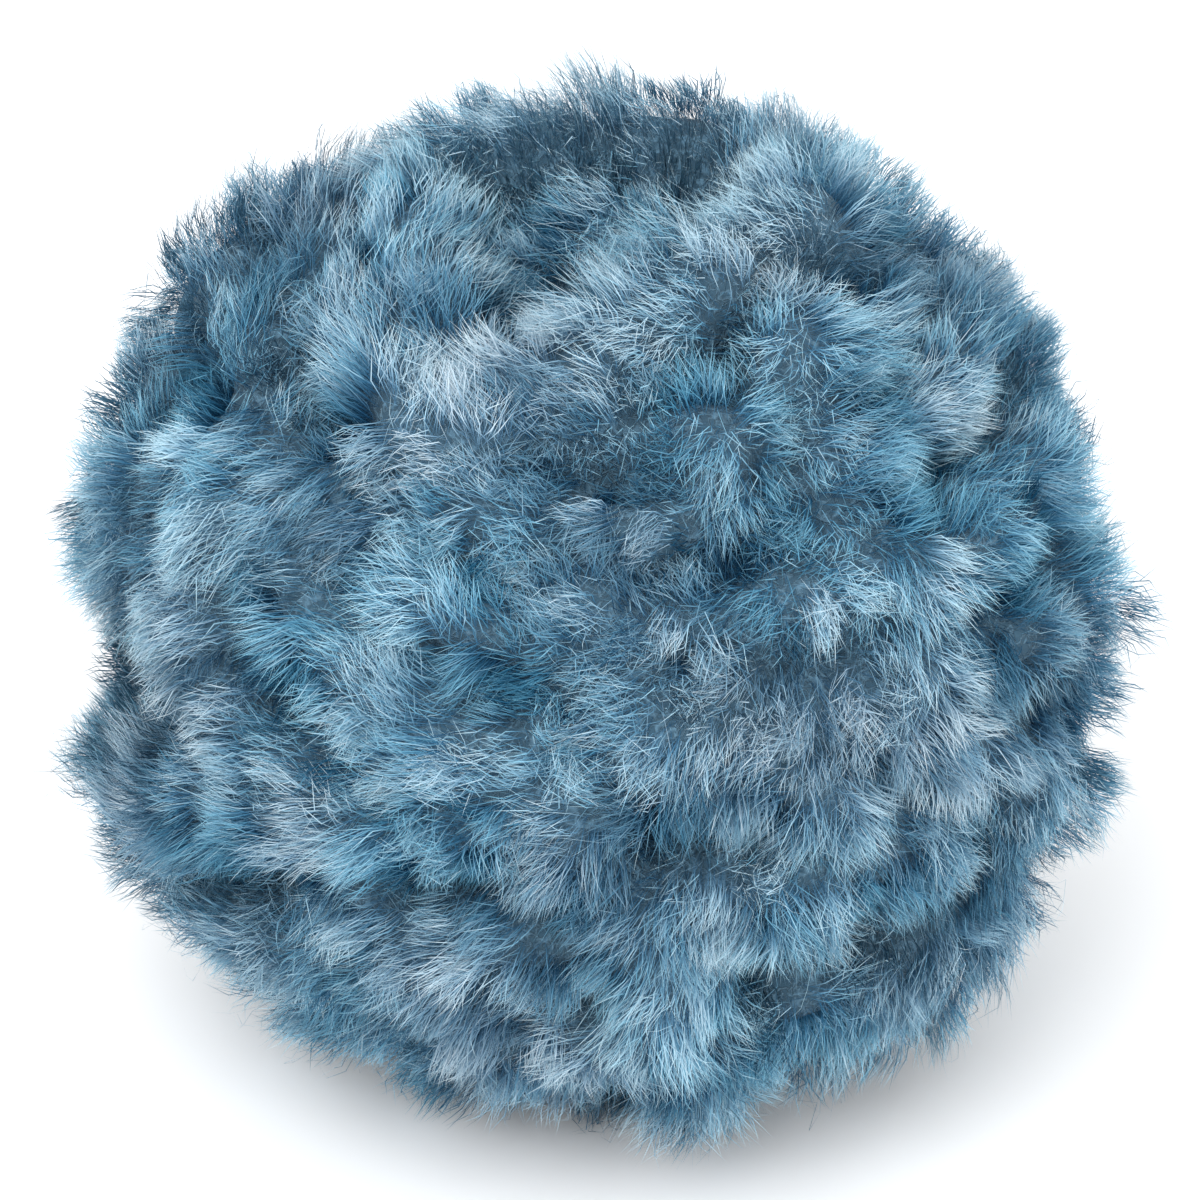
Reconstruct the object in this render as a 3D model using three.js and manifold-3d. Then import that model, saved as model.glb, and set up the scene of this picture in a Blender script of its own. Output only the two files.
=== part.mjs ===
// Faux fur yarn, wound into a ball: one furry length of yarn, built as the solid of its wound form.
// Millimetres, +Z up. The origin is the middle of the small flat spot on which the ball rests,
// and the front of the ball faces -Y.

import * as THREE from "three";
import { mergeVertices } from "three/addons/utils/BufferGeometryUtils.js";
import Module from "manifold-3d";

// The ball
const CENTRE_HEIGHT = 58.5; // of the ball's centre over its flat spot
const CORE_RADIUS = 54.0; // of the inner winding, which shows in the dimple on top
const FLAT_RADIUS = 22; // of the flat spot, where the pile is pressed flat
const FOOT_FADE = 20; // degrees past its edge, over which the pressed pile gives way to the turns
const SURFACE_STEPS = 15; // steps along each edge of the icosahedron that the form is drawn on

// The furry turns on the outside of the ball
const TURN_ORBIT = 52.6; // from the ball's centre to the middle of a turn
const TURN_RADIUS = 8.2; // half the width of a turn, with its pile pressed down
const TURN_BLEND = 0.45; // how softly one turn's pile closes over the next
const AXIS_LEAN = 13.5; // degrees, by which the winding's axis leans to the front
const AXIS_SIDE = 0.05; // and its lean to the right, as a share of the axis' length

const TURN_START = [0.3, 0.5, 0.81]; // waves along a turn are counted from across this direction

// How unevenly a turn runs: waves along it that sway it off its plane, in radians, and waves that
// swell it, as a share of its width. Each turn's waves are shifted by its number.
const SWAY = [
  { size: 0.035, waves: 2, shift: 1.7 },
  { size: 0.02, waves: 5, shift: 2.3 },
];
const SWELL = [
  { size: 0.06, waves: 4, shift: 0.9 },
  { size: 0.04, waves: 9, shift: 3.1 },
];

// Each row is one turn: tilt and toward are degrees between its plane and the winding's axis,
// offset is how far its plane lies from the centre, lift how far it lies over the turns below.
const TURNS = [
  { name: "dimple_rim", tilt: 5, toward: 78, offset: 46.0, lift: 0.6, width: 1.0 },
  { name: "pale_strand", tilt: 38, toward: 138, offset: 34.0, lift: 2.2, width: 0.9 },
  { name: "shoulder", tilt: 9, toward: 129, offset: 36.0, lift: 0.4, width: 1.0 },
  { name: "upper_row", tilt: 15, toward: 107, offset: 23.5, lift: 1.0, width: 1.05 },
  { name: "belly_row", tilt: 24, toward: 97, offset: 9.0, lift: 0.6, width: 1.0 },
  { name: "middle_band", tilt: 31, toward: 121, offset: -5.5, lift: 1.8, width: 1.05 },
  { name: "under_band", tilt: 29, toward: 127, offset: -20.0, lift: 0.8, width: 1.0 },
  { name: "lower_row", tilt: 14, toward: 150, offset: -27.0, lift: 0.2, width: 1.0 },
  { name: "low_row", tilt: 11, toward: 133, offset: -37.5, lift: 0.8, width: 1.0 },
  { name: "foot_row", tilt: 8, toward: 250, offset: -49.0, lift: 0.0, width: 1.0 },
  { name: "right_steep", tilt: 46, toward: 185, offset: -31.0, lift: 1.6, width: 1.0 },
  { name: "left_puff", tilt: 68, toward: 42, offset: -31.0, lift: 2.0, width: 1.05 },
  { name: "left_slope", tilt: 34, toward: 23, offset: 19.0, lift: 1.2, width: 0.95 },
  { name: "right_slope", tilt: 55, toward: 1, offset: 44.0, lift: 1.6, width: 0.95 },
  { name: "back_cross", tilt: 55, toward: 95, offset: -24.0, lift: 2.0, width: 1.0 },
  { name: "back_high", tilt: 40, toward: 290, offset: 20.0, lift: 1.6, width: 1.0 },
  { name: "back_low", tilt: 50, toward: 250, offset: 2.0, lift: 1.0, width: 1.0 },
];

// Uneven pile between the turns
const LUMP_HEIGHT = 0.6;
const LUMP_PITCH = 20; // distance between one lump and the next
const LUMP_WAVES = [
  { first: { across: [1, 0, 0], phase: 1 }, second: { across: [0, 0.87, 0], phase: 2 } },
  { first: { across: [0, 0, 1.06], phase: 0.5 }, second: { across: [0.7, 0.6, 0], phase: 0 } },
];
const LEVEL_FOOT = 0.8; // the lumps end under the ball, from this share of its radius
const LEVEL_SPOT = 0.92; // to this one

// The slow swirls in which the pile lies: a wave over the ball for each of X, Y and Z
const SWIRL = [
  { across: [0, 3.1, 1.9], phase: 0.4 },
  { across: [-2.3, 0, 2.7], phase: 2.1 },
  { across: [2.9, 2.2, 0], phase: 4.0 },
];

// The locks of long pile that stand proud of the turns: each has four sides, two triangles of the
// form as its root, one bend and a tip.
const LOCK_COUNT = 300;
const LOCK_RISE = 4.6; // of its tip over the turn under it
const LOCK_REACH = 7.0; // of its tip along the ball's surface
const LOCK_UNEVEN = 0.5; // how much one lock's size differs from another's
const LOCK_TWIST = 0.8; // how much its lie differs from the pile about it, in radians
const LOCK_TURNS = [0, 0.6, -0.6, 1.2, -1.2, 1.9, -1.9, 2.6]; // tried in turn where a turn is in its way
const LEAST_CUT = 1e-5; // a lock that would cut more than this from a turn or lock is turned, in mm3
const LOCK_SEARCH = 0.13; // how far from its even place a root may be, in radians
const ROUND_SPAN = 4.5; // a root is on the round of a turn where the form falls away this far from it
const LEAST_ROUND = 0.3; // by at least this much
const MOST_SLOPE = 2.0; // between the corners of a root, from the lowest to the highest

// Where a lock's bend lies, as shares of its reach and rise, and of its root's width and slope
const BEND = { along: 0.34, rise: 0.66, width: 0.72, tilt: 0.35 };

const LOWEST_LOCK = -0.84; // no lock starts further under the ball, as a share of its radius
const PRESSED_LOCK = -0.55; // below this the locks get shorter, pressed by the surface,
const PRESSED_SIZE = 0.55; // down to this share of their size

const GOLDEN_ANGLE = Math.PI * (3 - Math.sqrt(5));
const SAME_PLACE = 1e-4; // vertices nearer than this are one

const BLUE_PILE = new THREE.MeshStandardMaterial({ color: 0x5c8097, roughness: 0.9, metalness: 0 });

// A repeatable number from 0 to 1 for each whole number and kind of use.
function scatter(index, use) {
  const wave = Math.sin(index * 12.9898 + use * 78.233) * 43758.5453;
  return wave - Math.floor(wave);
}

// The winding's axis and two directions across it.
function windingFrame() {
  const lean = THREE.MathUtils.degToRad(AXIS_LEAN);
  const along = new THREE.Vector3(AXIS_SIDE, -Math.sin(lean), Math.cos(lean)).normalize();
  const right = new THREE.Vector3(0, 1, 0).cross(along).normalize();
  const back = along.clone().cross(right);
  return { along, right, back };
}

// The plane of each turn: its axis, two directions in it, and the phase of its unevenness.
function layTurns() {
  const winding = windingFrame();
  const reference = new THREE.Vector3(...TURN_START);
  return TURNS.map((turn, index) => {
    const tilt = THREE.MathUtils.degToRad(turn.tilt);
    const toward = THREE.MathUtils.degToRad(turn.toward);
    const axis = winding.along
      .clone()
      .multiplyScalar(Math.cos(tilt))
      .addScaledVector(winding.right, Math.sin(tilt) * Math.cos(toward))
      .addScaledVector(winding.back, Math.sin(tilt) * Math.sin(toward));
    const start = axis.clone().cross(reference).normalize();
    const quarter = axis.clone().cross(start);
    return { ...turn, index, axis, start, quarter, orbit: TURN_ORBIT + turn.lift };
  });
}

const laidTurns = layTurns();

// The sum of some waves along a turn, at an angle round it.
function unevenness(waves, angle, turn) {
  return waves.reduce((sum, wave) => (
    sum + wave.size * Math.sin(wave.waves * angle + wave.shift * turn.index)), 0);
}

// One wave over the ball, in a direction from its centre.
function waveOver(direction, { across, phase }) {
  return Math.sin(direction.dot(new THREE.Vector3(...across)) + phase);
}

// How far one turn reaches in a direction from the centre, or nothing where it doesn't lie.
function turnReach(direction, turn) {
  const latitude = Math.asin(THREE.MathUtils.clamp(direction.dot(turn.axis), -1, 1));
  const angle = Math.atan2(direction.dot(turn.quarter), direction.dot(turn.start));
  const sway = unevenness(SWAY, angle, turn);
  const away = latitude - Math.asin(turn.offset / turn.orbit) - sway;
  const halfWidth = TURN_RADIUS * turn.width * (1 + unevenness(SWELL, angle, turn));
  const across = turn.orbit * Math.sin(away);
  if (Math.abs(across) >= halfWidth || Math.cos(away) <= 0) return 0;
  return turn.orbit * Math.cos(away) + Math.sqrt(halfWidth * halfWidth - across * across);
}

// Low uneven lumps of pile, from waves across the ball.
function lump(direction) {
  const spot = direction.clone().multiplyScalar((2 * Math.PI * CORE_RADIUS) / LUMP_PITCH);
  const waves = LUMP_WAVES.map(({ first, second }) => waveOver(spot, first) * waveOver(spot, second));
  return LUMP_HEIGHT * waves.reduce((sum, wave) => sum + wave, 0);
}

// How far the pile that is gathered under the ball reaches: it fills the valleys about the flat
// spot, and fades into the turns further out.
function footReach(direction) {
  const edge = Math.atan2(FLAT_RADIUS, CENTRE_HEIGHT);
  const fade = THREE.MathUtils.degToRad(FOOT_FADE);
  const angle = Math.acos(THREE.MathUtils.clamp(-direction.z, -1, 1));
  const gone = THREE.MathUtils.smoothstep(angle, edge, edge + fade);
  return THREE.MathUtils.lerp(Math.hypot(FLAT_RADIUS, CENTRE_HEIGHT), CORE_RADIUS, gone);
}

// The ball's radius in a direction: the core and all turns, softly blended, with the lumps.
function formRadius(direction) {
  const turns = laidTurns.map((turn) => turnReach(direction, turn));
  const reaches = [CORE_RADIUS, footReach(direction), ...turns];
  const highest = Math.max(...reaches);
  const share = reaches.reduce((sum, reach) => sum + Math.exp((reach - highest) / TURN_BLEND), 0);
  const flatness = THREE.MathUtils.smoothstep(-direction.z, LEVEL_FOOT, LEVEL_SPOT);
  return highest + TURN_BLEND * Math.log(share) + lump(direction) * (1 - flatness);
}

// A closed solid from a geometry, with its shared vertices merged.
function solidFrom(wasm, geometry) {
  geometry.deleteAttribute("normal");
  geometry.deleteAttribute("uv");
  const merged = mergeVertices(geometry, SAME_PLACE);
  return new wasm.Manifold(
    new wasm.Mesh({
      numProp: 3,
      vertProperties: new Float32Array(merged.getAttribute("position").array),
      triVerts: new Uint32Array(merged.getIndex().array),
    }),
  );
}

const centre = new THREE.Vector3(0, 0, CENTRE_HEIGHT);

// Which way the pile lies at a place on the ball: slow swirls, as the turns were wound.
function pileFlow(direction) {
  const swirl = new THREE.Vector3(...SWIRL.map((wave) => waveOver(direction, wave)));
  return swirl.addScaledVector(direction, -swirl.dot(direction)).normalize();
}

// Where a lock should stand: an even spiral over the ball.
function lockPlace(index) {
  const height = 1 - (2 * index + 1) / LOCK_COUNT;
  const round = index * GOLDEN_ANGLE;
  const level = Math.sqrt(1 - height * height);
  return new THREE.Vector3(level * Math.cos(round), level * Math.sin(round), height);
}

// Every edge between two triangles of the form, with its middle and the corners of its diamond.
function diamondsOf(directions, triangles) {
  const waiting = new Map();
  const diamonds = [];
  triangles.forEach((order, triangle) => {
    order.forEach((from, side) => {
      const to = order[(side + 1) % 3];
      const far = order[(side + 2) % 3];
      const other = waiting.get(to + "," + from);
      waiting.set(from + "," + to, { triangle, far });
      if (!other) return;
      const middle = directions[from].clone().add(directions[to]).normalize();
      const corners = [from, other.far, to, far];
      const radii = corners.map((corner) => formRadius(directions[corner]));
      const slope = Math.max(...radii) - Math.min(...radii);
      diamonds.push({
        triangles: [triangle, other.triangle],
        corners,
        middle,
        along: directions[to].clone().sub(directions[from]).normalize(),
        proud: onTheRound(middle) && slope < MOST_SLOPE,
      });
    });
  });
  return diamonds;
}

// Whether a place is on the round of a turn, where its pile stands proud, and not in a valley:
// the form is compared with six places about it.
function onTheRound(direction) {
  const first = pileFlow(direction);
  const around = [0, 1, 2, 3, 4, 5].map((step) => {
    const way = first.clone().applyAxisAngle(direction, (step * Math.PI) / 3);
    return formRadius(direction.clone().addScaledVector(way, ROUND_SPAN / CORE_RADIUS).normalize());
  });
  const mean = around.reduce((sum, radius) => sum + radius, 0) / around.length;
  return formRadius(direction) - mean > LEAST_ROUND;
}

// The diamond that suits a lock best: close to its place, with its short way along the pile.
function rootFor(place, flow, diamonds, taken) {
  let best = null;
  let least = Infinity;
  for (const diamond of diamonds) {
    const distance = diamond.middle.distanceTo(place);
    if (distance > LOCK_SEARCH) continue;
    if (!diamond.proud || diamond.corners.some((corner) => taken.has(corner))) continue;
    const poorness = distance / LOCK_SEARCH + 1 - Math.abs(diamond.along.dot(flow));
    if (poorness < least) {
      least = poorness;
      best = diamond;
    }
  }
  return best;
}

// A point of the form, in a direction from the centre.
function onForm(direction) {
  return direction.clone().multiplyScalar(formRadius(direction)).add(centre);
}

// The bend's four corners and the tip of a lock that grows from a diamond of the form.
function lockPoints(diamond, directions, flow, size) {
  const pressed = THREE.MathUtils.smoothstep(diamond.middle.z, LOWEST_LOCK, PRESSED_LOCK);
  const length = size * THREE.MathUtils.lerp(PRESSED_SIZE, 1, pressed);
  const rise = LOCK_RISE * length;
  const reach = (LOCK_REACH * length) / CORE_RADIUS;
  const radii = diamond.corners.map((corner) => formRadius(directions[corner]));
  const mean = radii.reduce((sum, radius) => sum + radius, 0) / radii.length;
  const bendMiddle = diamond.middle.clone().addScaledVector(flow, reach * BEND.along);
  const bend = diamond.corners.map((corner, side) => {
    const aside = directions[corner].clone().sub(diamond.middle).multiplyScalar(BEND.width);
    const radius = mean + BEND.tilt * (radii[side] - mean) + BEND.rise * rise;
    return aside.add(bendMiddle).setLength(radius).add(centre);
  });
  const tip = diamond.middle.clone().addScaledVector(flow, reach);
  return { bend, tip: tip.setLength(mean + rise).add(centre) };
}

// The triangles of a lock's sides, from the numbers of its root's corners and of its first bend.
function lockSides(corners, firstBend) {
  const tip = firstBend + 4;
  return corners.flatMap((corner, side) => {
    const next = (side + 1) % 4;
    return [
      [corner, corners[next], firstBend + next],
      [corner, firstBend + next, firstBend + side],
      [firstBend + side, firstBend + next, tip],
    ];
  });
}

// A lock as a solid by itself, to find what it would run into.
function lockSolid(wasm, corners, bend, tip) {
  const root = [[0, 2, 1], [0, 3, 2]];
  const geometry = new THREE.BufferGeometry().setFromPoints([...corners, ...bend, tip]);
  geometry.setIndex([...root, ...lockSides([0, 1, 2, 3], 4)].flat());
  return solidFrom(wasm, geometry);
}

// The wound form with its locks: a sphere of triangles moved out to the turns, in which each
// lock's two root triangles give way to its sides. A lock that would run into a turn or into
// another lock is turned aside, and left out where no way is clear.
function shaggyForm(wasm) {
  const sphere = new THREE.IcosahedronGeometry(1, SURFACE_STEPS);
  sphere.deleteAttribute("normal");
  sphere.deleteAttribute("uv");
  const merged = mergeVertices(sphere, SAME_PLACE);
  const start = merged.getAttribute("position");
  const order = merged.getIndex().array;
  const directions = [];
  for (let index = 0; index < start.count; index += 1) {
    directions.push(new THREE.Vector3().fromBufferAttribute(start, index).normalize());
  }
  const triangles = [];
  for (let index = 0; index < order.length; index += 3) {
    triangles.push([order[index], order[index + 1], order[index + 2]]);
  }
  const points = directions.map((direction) => onForm(direction));
  const plain = new THREE.BufferGeometry().setFromPoints(points);
  plain.setIndex(triangles.flat());
  const standing = [solidFrom(wasm, plain)];
  const diamonds = diamondsOf(directions, triangles);
  const taken = new Set();
  const removed = new Set();
  const sides = [];
  for (let index = 0; index < LOCK_COUNT; index += 1) {
    const place = lockPlace(index);
    const twist = (scatter(index, 1) - 0.5) * 2 * LOCK_TWIST;
    const lie = pileFlow(place).applyAxisAngle(place, twist);
    const diamond = rootFor(place, lie, diamonds, taken);
    if (!diamond || diamond.middle.z < LOWEST_LOCK) continue;
    const size = 1 + LOCK_UNEVEN * (scatter(index, 2) - 0.5);
    const corners = diamond.corners.map((corner) => points[corner]);
    for (const turn of LOCK_TURNS) {
      const flow = lie.clone().applyAxisAngle(diamond.middle, turn);
      const { bend, tip } = lockPoints(diamond, directions, flow, size);
      const solid = lockSolid(wasm, corners, bend, tip);
      if (standing.some((other) => other.intersect(solid).volume() > LEAST_CUT)) continue;
      standing.push(solid);
      diamond.corners.forEach((corner) => taken.add(corner));
      diamond.triangles.forEach((triangle) => removed.add(triangle));
      sides.push(...lockSides(diamond.corners, points.length));
      points.push(...bend, tip);
      break;
    }
  }
  const kept = triangles.filter((corners, triangle) => !removed.has(triangle));
  const geometry = new THREE.BufferGeometry().setFromPoints(points);
  geometry.setIndex([...kept, ...sides].flat());
  return geometry;
}

// What lies below the surface that the ball rests on, pressed away to leave the flat spot.
function belowTheFlatSpot() {
  const side = 4 * CENTRE_HEIGHT;
  return new THREE.BoxGeometry(side, side, CENTRE_HEIGHT).translate(0, 0, -CENTRE_HEIGHT / 2);
}

// The finished solid: the wound form with its locks, standing on its flat spot.
async function yarnBallGeometry() {
  const wasm = await Module();
  wasm.setup();
  const ball = solidFrom(wasm, shaggyForm(wasm)).subtract(solidFrom(wasm, belowTheFlatSpot()));
  const mesh = ball.getMesh();
  const geometry = new THREE.BufferGeometry();
  geometry.setAttribute("position", new THREE.BufferAttribute(mesh.vertProperties, 3));
  geometry.setIndex(new THREE.BufferAttribute(mesh.triVerts, 1));
  geometry.computeVertexNormals();
  return geometry;
}

const yarnBall = new THREE.Mesh(await yarnBallGeometry(), BLUE_PILE);
yarnBall.name = "yarn_ball";

const furYarn = new THREE.Group();
furYarn.add(yarnBall);

export default furYarn;
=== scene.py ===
"""The looks of a ball of faux fur yarn: an undercoat over its wound turns, and the pile on it."""

import math
from collections import namedtuple

import bpy
import numpy as np
from bpy.props import FloatProperty, FloatVectorProperty, IntProperty, PointerProperty
from bpy.types import Operator, Panel, PropertyGroup
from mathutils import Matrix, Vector


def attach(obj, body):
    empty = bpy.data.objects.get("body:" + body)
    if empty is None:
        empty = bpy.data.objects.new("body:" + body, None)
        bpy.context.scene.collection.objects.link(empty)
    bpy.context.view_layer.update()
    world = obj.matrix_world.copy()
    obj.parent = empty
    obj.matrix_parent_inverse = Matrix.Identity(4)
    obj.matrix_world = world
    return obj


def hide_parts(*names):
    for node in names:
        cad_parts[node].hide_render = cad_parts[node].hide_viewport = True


bl_info = {
    "name": "Faux Fur Yarn Ball",
    "version": (1, 0, 0),
    "blender": (4, 5, 0),
    "location": "View3D > Sidebar > Yarn Ball",
    "description": "Dresses the solid of a wound ball of faux fur yarn in its dyed pile",
    "category": "Object",
}

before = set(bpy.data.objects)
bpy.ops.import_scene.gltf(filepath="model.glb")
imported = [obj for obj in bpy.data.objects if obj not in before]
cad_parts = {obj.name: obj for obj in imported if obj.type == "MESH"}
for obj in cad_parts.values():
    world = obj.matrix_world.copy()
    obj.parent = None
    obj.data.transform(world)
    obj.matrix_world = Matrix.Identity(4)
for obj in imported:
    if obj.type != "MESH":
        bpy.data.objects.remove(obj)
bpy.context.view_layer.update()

BODY = "root"
SOLID_NODE = "yarn_ball"

MM = 0.001
METRES = {"subtype": "DISTANCE", "unit": "LENGTH"}
GOLDEN_ANGLE = math.pi * (3 - math.sqrt(5))
SKEW = (0.31, 0.47, 0.83)  # a direction in which nothing here lies

# The wound form, in millimetres and degrees, as its solid has it
CENTRE_HEIGHT = 58.5  # of the ball's centre over the floor
CORE_RADIUS = 54.0
FLAT_RADIUS = 22.0  # of the flat spot that the ball rests on
FOOT_FADE = 20.0  # degrees past its edge, over which pressed pile gives way to the turns
FLOOR_GAP = 0.25  # what is bent up by the floor stays this far over it,
FLOOR_RISE = 0.08  # and by this share more of how far over or under it it was
TURN_ORBIT = 52.6  # from the ball's centre to the middle of a turn
TURN_RADIUS = 8.2
TURN_BLEND = 0.45
AXIS_LEAN = 13.5  # of the winding's axis to the front
AXIS_SIDE = 0.05
TURN_START = (0.3, 0.5, 0.81)

Wave = namedtuple("Wave", "size waves shift")
SWAY = (Wave(0.035, 2, 1.7), Wave(0.02, 5, 2.3))
SWELL = (Wave(0.06, 4, 0.9), Wave(0.04, 9, 3.1))

LUMP_HEIGHT = 0.6
LUMP_PITCH = 20.0
LEVEL_FOOT = 0.8  # the lumps end under the ball, from this share of its radius
LEVEL_SPOT = 0.92  # to this one
Lump = namedtuple("Lump", "first first_phase second second_phase")
LUMPS = (Lump((1, 0, 0), 1, (0, 0.87, 0), 2), Lump((0, 0, 1.06), 0.5, (0.7, 0.6, 0), 0))

SLOPE_STEP = 0.02  # radians to either side of a place, over which its slope is measured
SLOPE_WEIGHT = 1.3  # how much the slope counts where wisps are set closer for it
MOST_CROWDED = 2  # how many wisps the steepest places take for one on level ones

CREASE_SPAN = 7.0  # a place is compared with the mean of those this far round it
CREASE_SPOTS = 6  # which are this many
CREASE_DEPTH = 1.5  # it is in a crease where it lies this much lower than that mean

Turn = namedtuple("Turn", "name tilt toward offset lift width")
TURNS = (
    Turn("dimple_rim", tilt=5, toward=78, offset=46.0, lift=0.6, width=1.0),
    Turn("pale_strand", tilt=38, toward=138, offset=34.0, lift=2.2, width=0.9),
    Turn("shoulder", tilt=9, toward=129, offset=36.0, lift=0.4, width=1.0),
    Turn("upper_row", tilt=15, toward=107, offset=23.5, lift=1.0, width=1.05),
    Turn("belly_row", tilt=24, toward=97, offset=9.0, lift=0.6, width=1.0),
    Turn("middle_band", tilt=31, toward=121, offset=-5.5, lift=1.8, width=1.05),
    Turn("under_band", tilt=29, toward=127, offset=-20.0, lift=0.8, width=1.0),
    Turn("lower_row", tilt=14, toward=150, offset=-27.0, lift=0.2, width=1.0),
    Turn("low_row", tilt=11, toward=133, offset=-37.5, lift=0.8, width=1.0),
    Turn("foot_row", tilt=8, toward=250, offset=-49.0, lift=0.0, width=1.0),
    Turn("right_steep", tilt=46, toward=185, offset=-31.0, lift=1.6, width=1.0),
    Turn("left_puff", tilt=68, toward=42, offset=-31.0, lift=2.0, width=1.05),
    Turn("left_slope", tilt=34, toward=23, offset=19.0, lift=1.2, width=0.95),
    Turn("right_slope", tilt=55, toward=1, offset=44.0, lift=1.6, width=0.95),
    Turn("back_cross", tilt=55, toward=95, offset=-24.0, lift=2.0, width=1.0),
    Turn("back_high", tilt=40, toward=290, offset=20.0, lift=1.6, width=1.0),
    Turn("back_low", tilt=50, toward=250, offset=2.0, lift=1.0, width=1.0),
)

# The slow swirls in which the pile lies: a wave over the ball for each of X, Y and Z
Swirl = namedtuple("Swirl", "across phase")
SWIRLS = (
    Swirl((0, 3.1, 1.9), 0.4),
    Swirl((-2.3, 0, 2.7), 2.1),
    Swirl((2.9, 2.2, 0), 4.0),
)

# What the pile follows: away from the camera, the swirls, downhill and how it was brushed
OUTWARD_PULL = 0.75
SWIRL_PULL = 0.6
DOWNHILL_PULL = 1.2
BRUSHED_PULL = 1.8

# How the dye's tone comes and goes along a turn, and how its kind does over the ball
DYE_RUNS = (Wave(0.08, 5, 2.1), Wave(0.09, 11, 4.7), Wave(0.09, 23, 1.3))
DYE_TANGLE = (
    Swirl((5.1, 2.3, 4.4), 0.7),
    Swirl((-3.9, 6.7, 2.8), 2.0),
    Swirl((9.3, -4.1, 11.2), 4.0),
    Swirl((-8.6, 12.1, 7.7), 1.1),
)
DYE_MIDDLE = 1.1
DYE_CHANGE = 0.5

# The side of the ball that the camera sees: places on it are given across and up, in millimetres
# from the middle of the ball as seen, and angles anticlockwise from its right
VIEW_ELEVATION = 30.0
VIEW_EDGE = 6.0  # what is placed so fades out over this much to either side of the outline

# Where the pile is painted paler or darker: partly the dye's own pale and dark patches, partly painted
# shade in dark arcs and gaps between the tufts and painted light on places that lie in shade; the middle,
# half length, half width and slant of a patch, and how far it moves the tone
Patch = namedtuple("Patch", "across up length width slant tone")
DYE_AND_SHADE_PATCHES = (
    Patch(17, 43, length=10, width=5, slant=20, tone=0.46),
    Patch(2, 31, length=9, width=4.5, slant=0, tone=0.34),
    Patch(-16, 24, length=6, width=8, slant=0, tone=0.18),
    # Painted light: these two lift the dimple's far wall, which lies in shade, and the next one the dark
    # notch at the left outline
    Patch(10, 55, length=20, width=7, slant=-5, tone=0.6),
    Patch(-15, 52, length=9, width=6, slant=0, tone=0.3),
    Patch(-60, -7, length=9, width=6, slant=90, tone=0.3),
    Patch(-48, 7, length=10, width=6, slant=60, tone=0.18),
    Patch(-44, -21, length=8, width=5, slant=0, tone=0.12),
    Patch(-22, -20, length=18, width=5, slant=5, tone=0.16),
    Patch(32, -4, length=8, width=6, slant=-60, tone=0.16),
    Patch(15, -16, length=12, width=5, slant=-60, tone=0.14),
    Patch(-22, -43, length=9, width=6, slant=-40, tone=0.12),
    Patch(6, -47, length=16, width=5, slant=0, tone=0.1),
    Patch(52, -28, length=7, width=6, slant=50, tone=0.2),
    # Painted shade: the dark patches from here on darken the dimple's arcs and the gaps and valleys
    # between tufts, partly with darker dye
    Patch(-6.5, 43.5, length=7, width=2, slant=90, tone=-0.5),
    Patch(5, 49, length=10, width=1.8, slant=-17, tone=-0.3),
    Patch(-47, 24, length=5, width=3, slant=90, tone=-0.4),
    Patch(-31, 22, length=6, width=3, slant=75, tone=-0.4),
    Patch(-32, 3, length=5, width=4, slant=0, tone=-0.3),
    Patch(-1, 14, length=9, width=3, slant=20, tone=-0.34),
    Patch(-4, 5, length=6, width=2.5, slant=30, tone=-0.34),
    Patch(-43, -9, length=9, width=3, slant=-65, tone=-0.4),
    Patch(-17, -16, length=10, width=2.5, slant=10, tone=-0.4),
    Patch(16, 3, length=9, width=2.5, slant=10, tone=-0.36),
    Patch(-44, -33, length=7, width=3.5, slant=-30, tone=-0.34),
    Patch(-28, -34, length=6, width=3.5, slant=20, tone=-0.34),
    Patch(8, -26, length=12, width=2.5, slant=0, tone=-0.3),
    Patch(-6, -40, length=5, width=4, slant=40, tone=-0.4),
    Patch(12, -38, length=8, width=2.5, slant=10, tone=-0.26),
    Patch(40, 20, length=8, width=3, slant=-60, tone=-0.34),
    Patch(33, 40, length=6, width=2.5, slant=0, tone=-0.3),
    Patch(30, 12, length=7, width=3, slant=0, tone=-0.26),
    Patch(53, -6, length=9, width=3, slant=80, tone=-0.34),
    Patch(47, -34, length=8, width=3, slant=40, tone=-0.26),
    Patch(-44, -48, length=8, width=3.5, slant=-40, tone=-0.26),
)

# Where the pile puffs out or sinks in at the outline: the angle round it, reach in degrees and rise
PUFF_STRETCH = 0.65  # how much a puff is drawn out on the far side of the outline
PUFF_START = -0.6  # the puffs fade out under the ball, from this share of its radius
PUFF_END = -0.95  # to this one
Puff = namedtuple("Puff", "angle reach rise")
PUFFS = (
    Puff(angle=2, reach=11, rise=-6.5),
    Puff(angle=55, reach=9, rise=-4.0),
    Puff(angle=84, reach=12, rise=-3.4),
    Puff(angle=109, reach=8, rise=-2.6),
    Puff(angle=140, reach=16, rise=4.2),
    Puff(angle=184, reach=8, rise=-3.4),
    Puff(angle=216, reach=20, rise=3.4),
    Puff(angle=252, reach=10, rise=-5.0),
    Puff(angle=279, reach=8, rise=-3.8),
    Puff(angle=310, reach=13, rise=5.2),
    Puff(angle=340, reach=6, rise=-2.0),
)

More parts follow.
